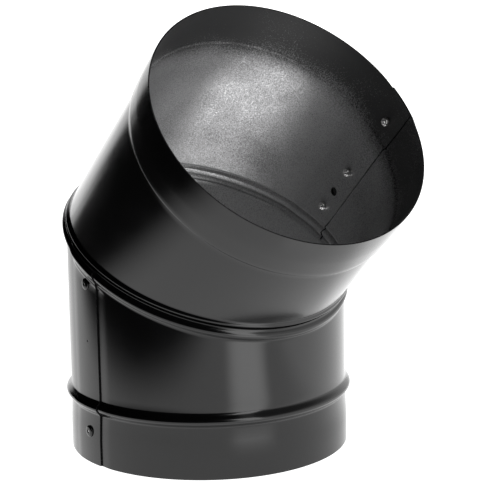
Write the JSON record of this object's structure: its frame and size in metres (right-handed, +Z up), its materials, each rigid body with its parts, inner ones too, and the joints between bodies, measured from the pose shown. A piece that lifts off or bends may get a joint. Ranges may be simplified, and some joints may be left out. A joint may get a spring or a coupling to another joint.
{
  "type": "flue elbow",
  "caption": "Fixed 45-degree sheet-steel flue elbow: riveted gores joined by a beaded mitre seam, with a beaded spigot at the inlet and a stepped socket at the outlet.",
  "frame": {"origin": "middle of the bottom rim of the inlet spigot", "axes": "+Z up along the lower leg's axis, +X towards the side that the bend leans to, +Y across the bend"},
  "size_m": [0.2115, 0.1583, 0.2427],
  "materials": {
    "black_sheet": "satin black stove paint on sheet steel",
    "black_rivet": "satin black stove paint over steel",
    "bare_steel": "bare drawn steel"
  },
  "bodies": {
    "root": {"lower_gore": "black_sheet", "upper_gore": "black_sheet", "rivet_lower_joint": "black_rivet", "rivet_lower_collar": "black_rivet", "rivet_upper_joint": "black_rivet", "rivet_upper_middle": "black_rivet", "rivet_upper_mouth": "black_rivet", "stem_lower_joint": "bare_steel", "stem_lower_collar": "bare_steel", "stem_upper_joint": "bare_steel", "stem_upper_middle": "bare_steel", "stem_upper_mouth": "bare_steel"}
  },
  "joints": []
}
